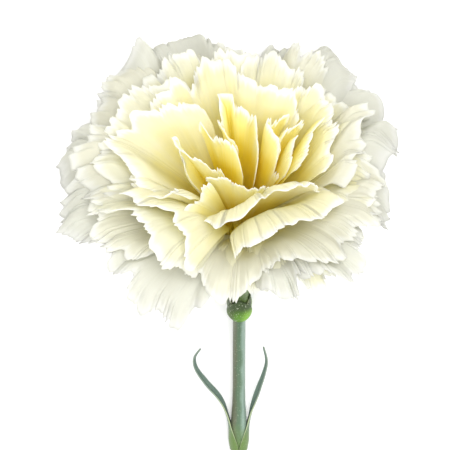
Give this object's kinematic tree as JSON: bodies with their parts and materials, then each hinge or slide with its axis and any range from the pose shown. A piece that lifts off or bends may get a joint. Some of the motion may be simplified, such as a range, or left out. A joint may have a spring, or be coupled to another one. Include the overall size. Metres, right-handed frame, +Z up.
{
  "type": "cut carnation",
  "caption": "Cut carnation lying on its side: a round double head of ruffled cream petals, a green calyx with bracts, a stem with a leaf pair and a slanted cut end.",
  "frame": {"origin": "middle of the bottom of the whole flower's box, on the surface it lies on", "axes": "+Z up from that surface, +Y from the cut end of the stem towards the head, +X across the flower"},
  "size_m": [0.0796, 0.1422, 0.059],
  "materials": {
    "guard_petals": "soft matte petal, near white with a cream foot",
    "outer_petals": "soft matte petal, ivory with a cream foot",
    "middle_petals": "soft matte petal, cream with a yellow foot",
    "inner_petals": "soft matte petal, cream yellow with a golden foot",
    "heart_petals": "soft matte petal, golden yellow with a pale margin",
    "calyx": "satin green plant skin",
    "bracts": "satin green scale with a pale papery rim",
    "pistil": "matte ivory",
    "stem": "waxy grey green",
    "leaves": "waxy grey green"
  },
  "bodies": {
    "root": {"bract_1": "bracts", "bract_2": "bracts", "bract_3": "bracts", "bract_4": "bracts", "calyx": "calyx", "guard_petal_1": "guard_petals", "guard_petal_2": "guard_petals", "guard_petal_3": "guard_petals", "guard_petal_4": "guard_petals", "guard_petal_5": "guard_petals", "guard_petal_6": "guard_petals", "guard_petal_7": "guard_petals", "guard_petal_8": "guard_petals", "guard_petal_9": "guard_petals", "heart_petal_1": "heart_petals", "heart_petal_2": "heart_petals", "heart_petal_3": "heart_petals", "heart_petal_4": "heart_petals", "heart_petal_5": "heart_petals", "heart_petal_6": "heart_petals", "heart_petal_7": "heart_petals", "heart_petal_8": "heart_petals", "heart_petal_9": "heart_petals", "inner_petal_1": "inner_petals", "inner_petal_2": "inner_petals", "inner_petal_3": "inner_petals", "inner_petal_4": "inner_petals", "inner_petal_5": "inner_petals", "inner_petal_6": "inner_petals", "inner_petal_7": "inner_petals", "leaf_left": "leaves", "leaf_right": "leaves", "middle_petal_1": "middle_petals", "middle_petal_2": "middle_petals", "middle_petal_3": "middle_petals", "middle_petal_4": "middle_petals", "middle_petal_5": "middle_petals", "middle_petal_6": "middle_petals", "middle_petal_7": "middle_petals", "middle_petal_8": "middle_petals", "outer_petal_1": "outer_petals", "outer_petal_2": "outer_petals", "outer_petal_3": "outer_petals", "outer_petal_4": "outer_petals", "outer_petal_5": "outer_petals", "outer_petal_6": "outer_petals", "outer_petal_7": "outer_petals", "outer_petal_8": "outer_petals", "outer_petal_9": "outer_petals", "pistil": "pistil", "stem": "stem"}
  },
  "joints": []
}
